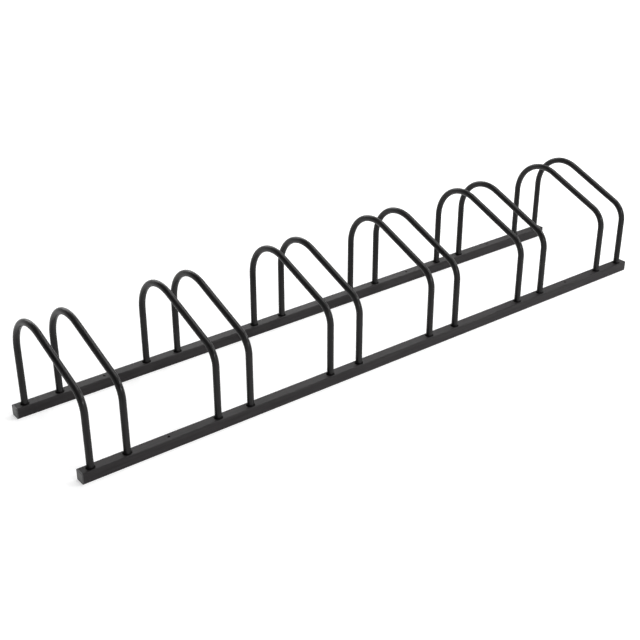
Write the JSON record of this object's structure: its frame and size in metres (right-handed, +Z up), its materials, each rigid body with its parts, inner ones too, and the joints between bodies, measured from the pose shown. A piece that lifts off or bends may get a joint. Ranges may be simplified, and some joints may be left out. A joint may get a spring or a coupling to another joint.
{
  "type": "floor bike rack",
  "caption": "Floor rack for parking bicycles: bent tube hoops in pairs welded across two box-section rails, each pair holding one front wheel.",
  "frame": {"origin": "on the floor, under the middle of the rack", "axes": "+X along the rails to the right end seen from the low front, +Y from the low front of the hoops to their high rear, +Z up"},
  "size_m": [1.6, 0.32, 0.256],
  "materials": {
    "rail_coat": "satin powder coat",
    "hoop_coat": "semi-gloss powder coat",
    "weld_coat": "semi-gloss powder coat over a weld bead",
    "cap_plastic": "matt moulded plastic"
  },
  "bodies": {
    "root": {"front_rail": "rail_coat", "front_rail_welds": "weld_coat", "front_rail_left_end_cap": "cap_plastic", "front_rail_right_end_cap": "cap_plastic", "rear_rail": "rail_coat", "rear_rail_welds": "weld_coat", "rear_rail_left_end_cap": "cap_plastic", "rear_rail_right_end_cap": "cap_plastic", "hoop_1_left": "hoop_coat", "hoop_1_right": "hoop_coat", "hoop_2_left": "hoop_coat", "hoop_2_right": "hoop_coat", "hoop_3_left": "hoop_coat", "hoop_3_right": "hoop_coat", "hoop_4_left": "hoop_coat", "hoop_4_right": "hoop_coat", "hoop_5_left": "hoop_coat", "hoop_5_right": "hoop_coat", "hoop_6_left": "hoop_coat", "hoop_6_right": "hoop_coat"}
  },
  "joints": []
}
